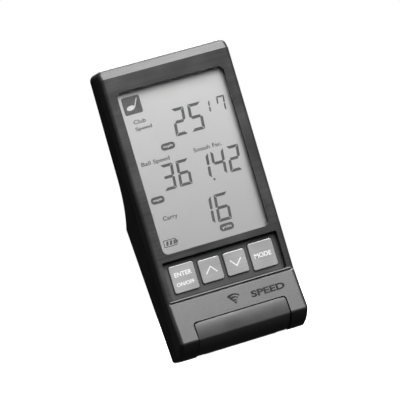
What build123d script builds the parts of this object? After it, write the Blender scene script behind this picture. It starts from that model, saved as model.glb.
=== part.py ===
"""Pocket sports radar: a hand-sized speed meter with a display, four keys and a fold-out stand.

Millimetres. X is to the right as seen from the front, Y runs from front to back, Z is up.
The origin is on the floor under the middle of the case, and the meter stands upright.
"""
from build123d import *
import os
from math import hypot

os.makedirs("parts", exist_ok=True)

# Case: overall sizes
body_width = 72.2
body_height = 155.0
chin_reach = 4.5
ridge_depth = 33.6
wall = 2.0
seam_gap = 0.15

# Case: outline heights
chin_height = 8.4
panel_top = 30.3
bevel_height = 5.1
bevel_depth = 3.0
ridge_height = 75.0
flare_top = 99.0
top_depth = 20.8
waist_depth = 23.2
foot_depth = 20.4
floor_front_depth = 8.5
underside_bulge = 1.2

# Case: rounded edges
top_corner_radius = 3.4
top_rear_radius = 3.0
long_edge_radius = 2.2
chin_radius = 1.5
parting_depth = 8.0

# Ridge bead and the cove under it
bead_radius = 0.7
bead_height = 30.55
cove_radius = 2.4
cove_centre_reach = 2.15

# Display window and display
window_width = 59.7
window_low = 54.8
window_top_inset = 13.4
window_radius = 3.0
lens_thickness = 1.0
lens_lap = 1.8
seal_thickness = 0.2
display_margin = 0.9
display_gap = 0.25
film_thickness = 0.2
glass_thickness = 0.7
display_frame_wall = 0.9
display_backing = 0.8
contact_ledge = 2.2

# Key field
well_low = 31.5
well_high = 51.3
well_radius = 1.0
well_collar = 1.2
plate_depth = 3.0
plate_thickness = 1.3
plate_flange = 0.6
plate_flange_lap = 0.9
slip = 0.1
key_row_height = 41.25
key_stand = 0.9
key_clearance = 0.35
key_corner_radius = 1.1
key_edge = 0.45
key_flange = 0.5
key_flange_lap = 0.6
key_travel = 0.5
large_key_width = 13.7
large_key_height = 14.4
small_key_width = 12.05
small_key_height = 12.3
key_gap_middle = 2.1
key_gap_outer = 2.25
key_field_margin = 3.25

# Boards and switches
board_depth = 8.4
board_thickness = 1.6
board_edge_gap = 1.2
board_top_inset = 5.0
board_low = 31.2
board_tab_low = 24.6
board_tab_width = 8.0
post_gap = 0.3
post_web_width = 4.0
switch_size = 6.2
switch_height = 1.9
plunger_radius = 1.6
plunger_clearance = 0.15
plunger_gap = 0.1
plunger_seat = 0.7
processor_place = (-9.0, 112.0)
processor_size = 12.0
processor_height = 1.4
memory_place = (11.0, 112.0)
memory_size = 8.0
power_chip_place = (11.0, 96.0)
power_chip_width = 6.0
power_chip_length = 5.0
small_chip_height = 1.2
crystal_place = (-9.0, 96.0)
crystal_width = 5.0
crystal_length = 3.2
crystal_height = 1.0
capacitor_column = 24.0
capacitor_low = 90.0
capacitor_pitch = 10.0
capacitor_rows = 4
capacitor_width = 3.5
capacitor_length = 2.8
capacitor_height = 1.9
socket_width = 10.0
socket_length = 2.4
socket_height = 1.4

# Radar
radar_board_width = 46.0
radar_board_height = 9.0
radar_board_thickness = 1.0
radar_board_gap = 1.2
radar_mid_height = 24.2
patch_size = 3.4
patch_thickness = 0.1
patch_pitch = 5.0
patch_row_pitch = 4.4
patch_columns = 6
patch_rows = 2
shield_width = 26.0
shield_height = 5.6
shield_drop = 1.2
cable_rise = 2.9
shield_depth = 2.6
shield_sheet = 0.3
radar_boss_radius = 1.9
radar_screw_radius = 0.7
radar_screw_head = 1.0
radar_screw_place = 20.6
cable_width = 8.0
cable_thickness = 0.3
cable_lead = (1.6, 1.2)
cable_board_gap = 0.7
cable_drop = 1.0
cable_bite = 0.2

# Battery bay
cell_radius = 5.25
cell_length = 44.5
nub_radius = 1.9
nub_length = 0.8
cell_edge_radius = 0.3
cell_gap = 0.05
cell_count = 4
bay_low = 15.4
spring_length = 3.2
contact_thickness = 0.4
contact_size = 9.0
spring_wire = 0.25
spring_turns = 2.5
spring_coil_radius = 2.6
tray_ear_height = 6.0
tray_ear_inset = 2.6
tray_ear_thickness = 1.4
tray_screw_bite = 1.6
bay_wall = 0.8
bay_floor = 1.0
bay_play = 0.25
door_thickness = 1.6
door_gap = 0.3
door_foam = 0.6
door_lip = 1.5
door_bead_radius = 0.8
cell_cover_gap = 0.2
door_grooves = 4
door_groove_pitch = 2.2
door_groove_width = 16.0
door_groove_height = 0.9
door_groove_depth = 0.5

# Stand
arm_width = 5.6
arm_thickness = 2.6
arm_recess = 0.3
arm_gap = 0.3
web_width = 1.2
knuckle_radius = 3.1
knuckle_gap = 0.4
pin_radius = 1.0
pin_running_clearance = 0.05
pin_height = 72.5
washer_thickness = 0.7
washer_margin = 0.3
channel_mouth_height = 2.6
channel_mouth_depth = 1.9
foot_width = 51.6
foot_gap = 0.6
foot_side_gap = 0.4
foot_lift = 0.4
foot_lip_height = 17.2
foot_corner_radius = 1.8
foot_edge_radius = 0.6
foot_wall = 1.8
foot_rib = 1.6
foot_pockets = 3
foot_step = 3.0
foot_back_low = 1.0
foot_toe_recess = 0.8
foot_lip_bulge = 0.35
pad_width = 40.0
pad_length = 6.0
pad_thickness = 1.0
pad_stand = 0.2

# Screws
screw_radius = 1.0
screw_head_radius = 1.9
screw_head_height = 1.3
screw_clearance = 0.15
boss_radius = 2.9
screw_seat = 2.4
case_screw_top_place = 24.0
case_screw_top_inset = 7.2
case_screw_low_place = 26.7
case_screw_low_height = 27.5
board_screw_place = 8.0
board_screw_radius = 0.8
board_screw_head = 1.5
recess_margin = 0.3
screw_bite = 5.0
slot_width = 0.5
slot_depth = 0.5
slot_length_share = 1.4

# Places that follow from the sizes
bezel_y = chin_reach - (chin_reach + ridge_depth) / 2
chin_y = bezel_y - chin_reach
ridge_y = bezel_y + ridge_depth
parting_y = bezel_y + parting_depth
half_width = body_width / 2
inner_half_width = half_width - wall
board_front_y = bezel_y + board_depth
bevel_low = body_height - bevel_height
window_high = body_height - window_top_inset
board_top = body_height - board_top_inset
case_screw_top_height = body_height - case_screw_top_inset
small_key_place = (small_key_width + key_gap_middle) / 2
large_key_place = small_key_place + (small_key_width + large_key_width) / 2 + key_gap_outer
well_width = 2 * (large_key_place + large_key_width / 2 + key_field_margin)
cell_pitch = 2 * cell_radius + cell_gap
screw_seat_depth = board_depth + board_thickness + screw_seat
panel_slope = chin_reach / (panel_top - chin_height)
bead_gap_z = bead_height - bead_radius - seam_gap

# The slope of the lower back, and points on it: s runs up the slope, n points out of the case
slope_run = hypot(ridge_depth - foot_depth, ridge_height)
slope_sin = (ridge_depth - foot_depth) / slope_run
slope_cos = ridge_height / slope_run
back_plane = Plane(
    origin=(0, bezel_y + foot_depth, 0),
    x_dir=(-1, 0, 0),
    z_dir=(0, slope_cos, -slope_sin),
)
pin_inset = arm_recess + knuckle_radius
pin_y = bezel_y + foot_depth + pin_height * slope_sin - pin_inset * slope_cos
pin_z = pin_height * slope_cos + pin_inset * slope_sin

# The foot's upper face and the case above it are arcs about the hinge pin
panel_y_at_lip = bezel_y - (panel_top - foot_lip_height) * panel_slope
foot_arc_radius = hypot(panel_y_at_lip - pin_y, foot_lip_height - pin_z)
notch_arc_radius = foot_arc_radius - foot_gap
notch_half_width = foot_width / 2 + foot_side_gap

# Battery bay across the back
bay_half_width = (cell_count * cell_pitch) / 2 + bay_play
bay_high = bay_low + cell_length + spring_length + contact_thickness
tray_half_width = bay_half_width + bay_wall
opening_half_width = tray_half_width + slip
cell_n = -(door_thickness + door_foam + cell_cover_gap + cell_radius)
bay_floor_n = cell_n - cell_radius - cell_cover_gap
channel_inner = opening_half_width + web_width
channel_outer = channel_inner + arm_width + 2 * arm_gap
channel_n = -(arm_recess + arm_thickness + arm_gap)
arm_mid = (channel_inner + channel_outer) / 2
channel_floor_n = channel_n - wall


def front_plane(depth):
    """A plane that faces the front, at this depth behind the bezel."""
    return Plane.XZ.offset(-(bezel_y + depth))


def back_level(n):
    """A plane along the lower back, n outside it."""
    return back_plane.offset(n)


def save(piece, name):
    """Label a finished piece and write it as a STEP file of that name."""
    piece.part.label = name
    export_step(piece.part, f"parts/{name}.step")


# The radar panel's plane: origin on the outer face, x to the right, z out of the panel
panel_run = hypot(chin_reach, panel_top - chin_height)
panel_plane = Plane(
    origin=(0, bezel_y - (panel_top - radar_mid_height) * panel_slope, radar_mid_height),
    x_dir=(1, 0, 0),
    z_dir=(0, -(panel_top - chin_height) / panel_run, chin_reach / panel_run),
)

# ---------------------------------------------------------------- outlines of the case and the foot
back_waist = (bezel_y + waist_depth, flare_top)
back_top = (bezel_y + top_depth, body_height)
chin = (chin_y, chin_height)
floor_front = (bezel_y + floor_front_depth, 0)
floor_rear = (bezel_y + foot_depth, 0)

with BuildSketch() as body_outline:
    with BuildLine():
        SagittaArc(chin, floor_front, -underside_bulge)
        Polyline(chin, (bezel_y, panel_top), (bezel_y, bevel_low), (bezel_y + bevel_depth, body_height))
        Polyline((bezel_y + bevel_depth, body_height), back_top, back_waist)
        TangentArc(back_waist, (ridge_y, ridge_height), tangent=Vector(*back_waist) - Vector(*back_top))
        Polyline((ridge_y, ridge_height), floor_rear, floor_front)
    make_face()
    fillet(body_outline.vertices().group_by(Axis.X)[0], chin_radius)

# ---------------------------------------------------------------- construction solids
with BuildPart() as body:
    with BuildSketch(Plane.YZ):
        add(body_outline.sketch)
    extrude(amount=half_width, both=True)
    fillet(body.edges().filter_by(Axis.Y).group_by(Axis.Z)[-1], top_corner_radius)
    top_rear_edge = body.edges().filter_by(Axis.X).group_by(Axis.Z)[-1].sort_by(Axis.Y)[-1]
    fillet(top_rear_edge, top_rear_radius)
    fillet(body.edges().filter_by(lambda e: abs(abs(e.center().X) - half_width) < slip), long_edge_radius)

# Space that the foot of the stand takes: wide at the back, narrower at the front
with BuildPart() as foot_notch:
    with BuildSketch(Plane.YZ):
        Rectangle(body_width, pin_z)
        with Locations((pin_y, pin_z)):
            Circle(notch_arc_radius, mode=Mode.SUBTRACT)
    extrude(amount=notch_half_width, both=True)
    with BuildSketch(Plane.XZ):
        RectangleRounded(2 * notch_half_width, 2 * (foot_lip_height + foot_gap), foot_corner_radius)
    extrude(amount=body_width, both=True, mode=Mode.INTERSECT)
    with BuildSketch(Plane.YZ):
        with Locations((body_width / 2 - foot_step, 0)):
            Rectangle(body_width, pin_z)
        with Locations((pin_y, pin_z)):
            Circle(notch_arc_radius, mode=Mode.SUBTRACT)
    extrude(amount=channel_outer, both=True)

# Hollow of the case, kept off the foot's space and the stand's channels
with BuildPart() as cavity:
    with BuildSketch(Plane.YZ):
        offset(body_outline.sketch, amount=-wall)
    extrude(amount=inner_half_width, both=True)
    fillet(cavity.edges().filter_by(Axis.Y).group_by(Axis.Z)[-1], top_corner_radius - wall)
    with BuildSketch(Plane.YZ):
        Rectangle(body_width, pin_z)
        with Locations((pin_y, pin_z)):
            Circle(notch_arc_radius - wall, mode=Mode.SUBTRACT)
    extrude(amount=channel_outer + wall, both=True, mode=Mode.SUBTRACT)
    with BuildSketch(back_level(channel_floor_n)):
        with Locations((arm_mid, pin_height / 2), (-arm_mid, pin_height / 2)):
            Rectangle(channel_outer - channel_inner + 2 * web_width, pin_height + 2 * knuckle_radius)
    extrude(amount=-channel_floor_n, mode=Mode.SUBTRACT)
    with BuildSketch(Plane.YZ):
        with Locations((pin_y, pin_z)):
            Circle(knuckle_radius + knuckle_gap + wall)
    extrude(amount=channel_outer + web_width, both=True, mode=Mode.SUBTRACT)

with BuildPart() as shell:
    add(body.part)
    add(cavity.part, mode=Mode.SUBTRACT)
    add(foot_notch.part, mode=Mode.SUBTRACT)

window_height = window_high - window_low
window_mid = (window_low + window_high) / 2
well_height = well_high - well_low
well_mid = (well_low + well_high) / 2
case_screws = [
    (side * place, height)
    for side in (-1, 1)
    for place, height in (
        (case_screw_top_place, case_screw_top_height),
        (case_screw_low_place, case_screw_low_height),
    )
]
board_screws = [(side * board_screw_place, case_screw_top_height) for side in (-1, 1)]
ear_heights = (bay_low + tray_ear_inset, bay_high - tray_ear_inset)
tray_screw_places = [(side * arm_mid, height) for side in (-1, 1) for height in ear_heights]

# ---------------------------------------------------------------- case
with BuildPart() as front_case:
    add(shell.part)
    with BuildSketch(Plane.YZ):
        with Locations((parting_y - seam_gap / 2 - body_width / 2, bead_gap_z + body_height / 2)):
            Rectangle(body_width, body_height)
    extrude(amount=body_width, both=True, mode=Mode.INTERSECT)
    # posts for the case screws and the board screws
    with BuildSketch(front_plane(board_depth)):
        with Locations(*case_screws, *board_screws):
            Circle(boss_radius)
    extrude(amount=board_depth - wall - post_gap)
    # webs that tie the low posts to the collar
    with BuildSketch(front_plane(plate_depth + plate_thickness)):
        for side in (-1, 1):
            with Locations((side * case_screw_low_place, (case_screw_low_height + well_low) / 2)):
                Rectangle(post_web_width, well_low - case_screw_low_height)
    extrude(amount=plate_depth + plate_thickness - wall - post_gap)
    # collar behind the key field
    with BuildSketch(front_plane(plate_depth + plate_thickness)):
        with Locations((0, well_mid)):
            Rectangle(well_width + 2 * well_collar, well_height + 2 * well_collar)
    extrude(amount=plate_depth + plate_thickness - wall / 2)
    # bead under the key field
    with BuildSketch(Plane.YZ):
        with Locations((bezel_y, bead_height)):
            Circle(bead_radius)
    extrude(amount=half_width - long_edge_radius, both=True)
    with BuildSketch(front_plane(wall + slip)):
        with Locations((0, window_mid)):
            RectangleRounded(window_width, window_height, window_radius)
    extrude(amount=2 * wall, mode=Mode.SUBTRACT)
    with BuildSketch(front_plane(plate_depth + plate_thickness + slip)):
        with Locations((0, well_mid)):
            RectangleRounded(well_width, well_height, well_radius)
    extrude(amount=2 * plate_depth + plate_thickness, mode=Mode.SUBTRACT)
    with BuildSketch(front_plane(board_depth + slip)):
        with Locations(*case_screws):
            Circle(screw_radius)
        with Locations(*board_screws):
            Circle(board_screw_radius)
    extrude(amount=screw_bite, mode=Mode.SUBTRACT)
save(front_case, "front_case")

with BuildPart() as radar_cover:
    add(shell.part)
    with BuildSketch(Plane.YZ):
        with Locations((parting_y - seam_gap / 2 - body_width / 2, bead_gap_z - seam_gap - body_height / 2)):
            Rectangle(body_width, body_height)
    extrude(amount=body_width, both=True, mode=Mode.INTERSECT)
    with BuildSketch(Plane.YZ):
        with Locations((bezel_y - cove_centre_reach, bead_height)):
            Circle(cove_radius)
    extrude(amount=body_width, both=True, mode=Mode.SUBTRACT)
    with BuildSketch(panel_plane.offset(-wall - radar_board_gap)):
        with Locations((radar_screw_place, 0), (-radar_screw_place, 0)):
            Circle(radar_boss_radius)
    extrude(amount=radar_board_gap + slip)
    with BuildSketch(panel_plane.offset(-wall - radar_board_gap - slip)):
        with Locations((radar_screw_place, 0), (-radar_screw_place, 0)):
            Circle(radar_screw_radius)
    extrude(amount=radar_board_gap + wall / 2, mode=Mode.SUBTRACT)
save(radar_cover, "radar_cover")

opening_low = bay_low - door_lip
opening_high = bay_high + door_lip
with BuildPart() as rear_case:
    add(shell.part)
    with BuildSketch(Plane.YZ):
        with Locations((parting_y + seam_gap / 2 + body_width / 2, body_height / 2)):
            Rectangle(body_width, 2 * body_height)
    extrude(amount=body_width, both=True, mode=Mode.INTERSECT)
    # posts for the case screws
    with BuildSketch(front_plane(board_depth + board_thickness)):
        with Locations(*case_screws):
            Circle(boss_radius)
    extrude(until=Until.NEXT, target=rear_case.part, dir=(0, 1, 0))
    # opening of the battery bay and the two channels of the stand
    with BuildSketch(back_level(slip)):
        with Locations((0, (opening_low + opening_high) / 2)):
            Rectangle(2 * opening_half_width, opening_high - opening_low)
    extrude(amount=channel_floor_n - 2 * wall, mode=Mode.SUBTRACT)
    with BuildSketch(back_level(slip)):
        with Locations((arm_mid, pin_height / 2 - wall), (-arm_mid, pin_height / 2 - wall)):
            Rectangle(channel_outer - channel_inner, pin_height + 2 * wall)
    extrude(amount=channel_n - slip, mode=Mode.SUBTRACT)
    for side in (-1, 1):
        with BuildSketch(Plane.YZ.offset(side * channel_inner)):
            with Locations((pin_y, pin_z)):
                Circle(knuckle_radius + knuckle_gap)
        extrude(amount=side * (channel_outer - channel_inner), mode=Mode.SUBTRACT)
    # wider mouths above the pin, where the arms turn out
    with BuildSketch(back_level(slip)):
        with Locations((arm_mid, pin_height), (-arm_mid, pin_height)):
            Rectangle(channel_outer - channel_inner, 2 * channel_mouth_height)
    extrude(amount=-channel_mouth_depth - slip, mode=Mode.SUBTRACT)
    with BuildSketch(Plane.YZ):
        with Locations((pin_y, pin_z)):
            Circle(pin_radius)
    extrude(amount=channel_outer + web_width, both=True, mode=Mode.SUBTRACT)
    with BuildSketch(back_level(channel_floor_n - slip)):
        with Locations(*tray_screw_places):
            Circle(board_screw_radius)
    extrude(amount=slip + tray_screw_bite, mode=Mode.SUBTRACT)
    # screw holes, with deep recesses for the heads
    with BuildSketch(front_plane(board_depth)):
        with Locations(*case_screws):
            Circle(screw_radius + screw_clearance)
    extrude(amount=-2 * ridge_depth, mode=Mode.SUBTRACT)
    with BuildSketch(front_plane(screw_seat_depth)):
        with Locations(*case_screws):
            Circle(screw_head_radius + recess_margin)
    extrude(amount=-2 * ridge_depth, mode=Mode.SUBTRACT)
save(rear_case, "rear_case")

# ---------------------------------------------------------------- window and display
lens_front = wall + seal_thickness
lens_rear = lens_front + lens_thickness
film_front = lens_rear + display_gap
glass_front = film_front + film_thickness
glass_split = glass_front + glass_thickness
glass_rear = glass_split + glass_thickness
display_rear = glass_rear + film_thickness
display_width = window_width + 2 * display_margin
display_height = window_height + 2 * display_margin
backing_height = display_height - 2 * contact_ledge


def slab(depth_front, depth_rear, width, height, radius=0.0):
    """A flat piece across the display, between two depths behind the bezel."""
    with BuildPart() as piece:
        with BuildSketch(front_plane(depth_rear)):
            with Locations((0, window_mid)):
                if radius:
                    RectangleRounded(width, height, radius)
                else:
                    Rectangle(width, height)
        extrude(amount=depth_rear - depth_front)
    return piece


with BuildPart() as window_seal:
    add(slab(wall, lens_front, window_width + 2 * lens_lap, window_height + 2 * lens_lap).part)
    add(slab(0, board_depth, window_width, window_height, window_radius).part, mode=Mode.SUBTRACT)
save(window_seal, "window_seal")

lens_width = window_width + 2 * lens_lap
lens_height = window_height + 2 * lens_lap
save(slab(lens_front, lens_rear, lens_width, lens_height), "display_window")
save(slab(film_front, glass_front, display_width, display_height), "display_front_film")
save(slab(glass_front, glass_split, display_width, display_height), "display_front_glass")
save(slab(glass_split, glass_rear, display_width, backing_height), "display_rear_glass")
save(slab(glass_rear, display_rear, display_width, backing_height), "display_reflector")

frame_width = display_width + 2 * (slip + display_frame_wall)
frame_height = display_height + 2 * (slip + display_frame_wall)
with BuildPart() as display_frame:
    add(slab(lens_rear + slip, board_depth, frame_width, frame_height).part)
    add(
        slab(0, display_rear + slip, display_width + 2 * slip, display_height + 2 * slip).part,
        mode=Mode.SUBTRACT,
    )
    add(
        slab(
            display_rear + slip + display_backing,
            2 * board_depth,
            display_width + 2 * slip,
            backing_height - 2 * slip,
        ).part,
        mode=Mode.SUBTRACT,
    )
    with BuildSketch(front_plane(board_depth)):
        for end in (-1, 1):
            with Locations((0, window_mid + end * (display_height - contact_ledge) / 2)):
                Rectangle(display_width, contact_ledge)
    extrude(amount=board_depth, mode=Mode.SUBTRACT)
save(display_frame, "display_frame")

with BuildPart() as display_contacts:
    with BuildSketch(front_plane(board_depth)):
        for end in (-1, 1):
            with Locations((0, window_mid + end * (display_height - contact_ledge) / 2)):
                Rectangle(display_width - 2 * slip, contact_ledge - 2 * slip)
    extrude(amount=board_depth - glass_split)
save(display_contacts, "display_contact_strips")

# ---------------------------------------------------------------- keys
keys = {
    "enter": (-large_key_place, large_key_width, large_key_height),
    "up": (-small_key_place, small_key_width, small_key_height),
    "down": (small_key_place, small_key_width, small_key_height),
    "mode": (large_key_place, large_key_width, large_key_height),
}
plate_rear = plate_depth + plate_thickness
flange_rear = plate_rear + plate_flange
cap_rear = flange_rear + slip + key_flange
plunger_front = cap_rear + plunger_gap
switch_front = board_depth - switch_height

with BuildPart() as key_plate:
    with BuildSketch(front_plane(plate_rear)):
        with Locations((0, well_mid)):
            RectangleRounded(well_width - 2 * slip, well_height - 2 * slip, well_radius)
    extrude(amount=plate_thickness)
    with BuildSketch(front_plane(flange_rear)):
        with Locations((0, well_mid)):
            Rectangle(well_width - 2 * well_radius, well_height - 2 * well_radius)
    extrude(amount=plate_flange)
    with BuildSketch(front_plane(flange_rear)):
        with Locations((0, well_mid)):
            Rectangle(well_width + 2 * plate_flange_lap, well_height + 2 * plate_flange_lap)
    extrude(amount=plate_flange - slip / 2)
    with BuildSketch(front_plane(flange_rear)):
        for place, width, height in keys.values():
            with Locations((place, key_row_height)):
                RectangleRounded(
                    width + 2 * key_clearance,
                    height + 2 * key_clearance,
                    key_corner_radius + key_clearance,
                )
    extrude(amount=board_depth, mode=Mode.SUBTRACT)
save(key_plate, "key_plate")

for key_name, (place, width, height) in keys.items():
    with BuildPart() as key_cap:
        with BuildSketch(front_plane(flange_rear + slip)):
            with Locations((place, key_row_height)):
                RectangleRounded(width, height, key_corner_radius)
        extrude(amount=flange_rear + slip - plate_depth + key_stand)
        fillet(key_cap.edges().group_by(Axis.Y)[0], key_edge)
        with BuildSketch(front_plane(cap_rear)):
            with Locations((place, key_row_height)):
                Rectangle(width + 2 * key_flange_lap, height + 2 * key_flange_lap)
        extrude(amount=key_flange)
    save(key_cap, f"key_{key_name}")
    with BuildPart() as switch_button:
        with BuildSketch(front_plane(switch_front + plunger_seat)):
            with Locations((place, key_row_height)):
                Circle(plunger_radius)
        extrude(amount=switch_front + plunger_seat - plunger_front)
    save(switch_button, f"switch_button_{key_name}")

with BuildPart() as key_switches:
    with BuildSketch(front_plane(board_depth)):
        for place, width, height in keys.values():
            with Locations((place, key_row_height)):
                Rectangle(switch_size, switch_size)
    extrude(amount=switch_height)
    with BuildSketch(front_plane(switch_front + plunger_seat + key_travel + slip)):
        for place, width, height in keys.values():
            with Locations((place, key_row_height)):
                Circle(plunger_radius + plunger_clearance)
    extrude(amount=switch_height, mode=Mode.SUBTRACT)
save(key_switches, "key_switches")

# ---------------------------------------------------------------- main board and what is on it
board_half_width = inner_half_width - board_edge_gap
with BuildPart() as main_board:
    with BuildSketch(front_plane(board_depth + board_thickness)):
        with Locations((0, (board_top + board_low) / 2)):
            Rectangle(2 * board_half_width, board_top - board_low)
        for side in (-1, 1):
            with Locations((side * (board_half_width - board_tab_width / 2), (board_top + board_tab_low) / 2)):
                Rectangle(board_tab_width, board_top - board_tab_low)
        with Locations(*case_screws):
            Circle(screw_radius + screw_clearance, mode=Mode.SUBTRACT)
        with Locations(*board_screws):
            Circle(board_screw_radius + screw_clearance, mode=Mode.SUBTRACT)
    extrude(amount=board_thickness)
save(main_board, "main_board")


def board_block(depth, places, width, height, thickness):
    """Blocks of one size that stand on a face of the main board; thickness is negative at the back."""
    with BuildPart() as piece:
        with BuildSketch(front_plane(depth)):
            with Locations(*places):
                Rectangle(width, height)
        extrude(amount=thickness)
    return piece


board_back = board_depth + board_thickness
save(
    board_block(board_back, [processor_place], processor_size, processor_size, -processor_height),
    "processor_chip",
)
save(board_block(board_back, [memory_place], memory_size, memory_size, -small_chip_height), "memory_chip")
save(
    board_block(board_back, [power_chip_place], power_chip_width, power_chip_length, -small_chip_height),
    "power_chip",
)
save(board_block(board_back, [crystal_place], crystal_width, crystal_length, -crystal_height), "crystal")
capacitor_places = [
    (side * capacitor_column, capacitor_low + row * capacitor_pitch)
    for side in (-1, 1)
    for row in range(capacitor_rows)
]
save(
    board_block(board_back, capacitor_places, capacitor_width, capacitor_length, -capacitor_height),
    "capacitors",
)
socket_place = (0, board_low + cable_bite + socket_length / 2)
save(board_block(board_depth, [socket_place], socket_width, socket_length, socket_height), "radar_cable_socket")

# ---------------------------------------------------------------- radar
radar_board_front = -wall - radar_board_gap
radar_board_rear = radar_board_front - radar_board_thickness
radar_screws = [(radar_screw_place, 0), (-radar_screw_place, 0)]

with BuildPart() as radar_board:
    with BuildSketch(panel_plane.offset(radar_board_rear)):
        Rectangle(radar_board_width, radar_board_height)
        with Locations(*radar_screws):
            Circle(radar_screw_radius + screw_clearance, mode=Mode.SUBTRACT)
    extrude(amount=radar_board_thickness)
save(radar_board, "radar_board")

with BuildPart() as radar_patches:
    with BuildSketch(panel_plane.offset(radar_board_front)):
        with GridLocations(patch_pitch, patch_row_pitch, patch_columns, patch_rows):
            Rectangle(patch_size, patch_size)
    extrude(amount=patch_thickness)
save(radar_patches, "radar_patches")

with BuildPart() as radar_shield:
    with BuildSketch(panel_plane.offset(radar_board_rear)):
        with Locations((0, -shield_drop)):
            Rectangle(shield_width, shield_height)
    extrude(amount=-shield_depth)
    with BuildSketch(panel_plane.offset(radar_board_rear)):
        with Locations((0, -shield_drop)):
            Rectangle(shield_width - 2 * shield_sheet, shield_height - 2 * shield_sheet)
    extrude(amount=shield_sheet - shield_depth, mode=Mode.SUBTRACT)
save(radar_shield, "radar_shield")

with BuildPart() as radar_screw_set:
    with BuildSketch(panel_plane.offset(radar_board_rear)):
        with Locations(*radar_screws):
            Circle(radar_screw_head)
    extrude(amount=-radar_screw_radius)
    with BuildSketch(panel_plane.offset(radar_board_rear)):
        with Locations(*radar_screws):
            Circle(radar_screw_radius)
    extrude(amount=radar_board_thickness + radar_board_gap)
save(radar_screw_set, "radar_screws")

cable_start = panel_plane.from_local_coords(Vector(0, cable_rise, radar_board_rear - cable_thickness))
with BuildPart() as radar_cable:
    with BuildSketch(Plane.YZ):
        with BuildLine():
            Polyline(
                (cable_start.Y, cable_start.Z),
                (cable_start.Y + cable_lead[0], cable_start.Z + cable_lead[1]),
                (board_front_y - cable_board_gap, board_low - cable_drop),
                (board_front_y - cable_board_gap, board_low + cable_bite),
            )
        trace(line_width=cable_thickness)
    extrude(amount=cable_width / 2, both=True)
save(radar_cable, "radar_cable")

# ---------------------------------------------------------------- battery bay
rim_n = -(door_thickness + slip)
bay_mid = (bay_low + bay_high) / 2
with BuildPart() as battery_tray:
    with BuildSketch(back_level(bay_floor_n - bay_floor)):
        with Locations((0, bay_mid)):
            Rectangle(2 * tray_half_width, bay_high - bay_low + 2 * bay_wall)
    extrude(amount=rim_n - bay_floor_n + bay_floor)
    with BuildSketch(back_level(channel_floor_n - slip)):
        for height in ear_heights:
            with Locations((0, height)):
                Rectangle(2 * (arm_mid + arm_width / 2), tray_ear_height)
    extrude(amount=-tray_ear_thickness)
    with BuildSketch(back_level(bay_floor_n)):
        with Locations((0, bay_mid)):
            Rectangle(2 * bay_half_width, bay_high - bay_low)
    extrude(amount=ridge_depth, mode=Mode.SUBTRACT)
    with BuildSketch(back_level(bay_floor_n - bay_floor)):
        with Locations(*tray_screw_places):
            Circle(board_screw_radius + screw_clearance)
    extrude(amount=ridge_depth, mode=Mode.SUBTRACT)
save(battery_tray, "battery_tray")

with BuildPart() as tray_screws:
    with BuildSketch(back_level(channel_floor_n - slip - tray_ear_thickness)):
        with Locations(*tray_screw_places):
            Circle(board_screw_radius)
    extrude(amount=slip + tray_ear_thickness + tray_screw_bite)
    with BuildSketch(back_level(channel_floor_n - slip - tray_ear_thickness)):
        with Locations(*tray_screw_places):
            Circle(board_screw_head)
    extrude(amount=-board_screw_radius)
save(tray_screws, "tray_screws")


def cell_plane(column, height, up):
    """A plane across a battery column at this height on the slope, facing up or down the slope."""
    place = (column - (cell_count - 1) / 2) * cell_pitch
    return Plane(
        origin=back_plane.from_local_coords(Vector(place, height, cell_n)),
        x_dir=(1, 0, 0),
        z_dir=(0, up * slope_sin, up * slope_cos),
    )


def cell_base(column):
    """The plane at the flat end of a cell; every other cell stands upside down."""
    if column % 2 == 0:
        return cell_plane(column, bay_low + spring_length, 1)
    return cell_plane(column, bay_high - spring_length, -1)


for column in range(cell_count):
    with BuildPart() as cell:
        with BuildSketch(cell_base(column)):
            Circle(cell_radius)
        extrude(amount=cell_length - nub_length)
        fillet(cell.edges().filter_by(GeomType.CIRCLE), cell_edge_radius)
        with BuildSketch(cell_base(column).offset(cell_length - nub_length)):
            Circle(nub_radius)
        extrude(amount=nub_length)
    save(cell, f"battery_cell_{column + 1}")

with BuildPart() as contact_plates:
    for column in range(cell_count):
        for level, up in ((bay_low, 1), (bay_high, -1)):
            with BuildSketch(cell_plane(column, level, up)):
                Rectangle(contact_size, contact_size)
            extrude(amount=contact_thickness)
save(contact_plates, "contact_plates")

coil_height = spring_length - contact_thickness - 2 * spring_wire - 2 * slip
with BuildPart() as coil_spring:
    with BuildLine() as coil:
        Helix(coil_height / spring_turns, coil_height, spring_coil_radius)
    with BuildSketch(Plane(origin=coil.line @ 0, z_dir=coil.line % 0)):
        Circle(spring_wire)
    sweep(path=coil.line)

with BuildPart() as battery_springs:
    for column in range(cell_count):
        with Locations(cell_base(column).offset(-slip - spring_wire - coil_height).location):
            add(coil_spring.part)
save(battery_springs, "battery_springs")

# ---------------------------------------------------------------- battery door
door_half_width = opening_half_width - door_gap
door_low = opening_low + door_gap
door_high = opening_high - door_gap
with BuildPart() as battery_door:
    with BuildSketch(back_level(-door_thickness)):
        with Locations((0, (door_low + door_high) / 2)):
            Rectangle(2 * door_half_width, door_high - door_low)
    extrude(amount=door_thickness)
    bottom_edges = battery_door.edges().filter_by(Axis.X).group_by(Axis.Z)
    low_edges = bottom_edges[0] + bottom_edges[1]
    fillet(low_edges, door_bead_radius - slip / 2)
    with BuildSketch(back_plane):
        for groove in range(door_grooves):
            with Locations((0, door_high - door_groove_pitch * (groove + 2))):
                SlotOverall(door_groove_width, door_groove_height)
    extrude(amount=-door_groove_depth, mode=Mode.SUBTRACT)
save(battery_door, "battery_door")

with BuildPart() as door_pad:
    with BuildSketch(back_level(-door_thickness)):
        with Locations((0, bay_mid)):
            Rectangle(2 * bay_half_width - 2 * cell_radius, (bay_high - bay_low) / 2)
    extrude(amount=-door_foam)
save(door_pad, "battery_door_pad")

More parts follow.
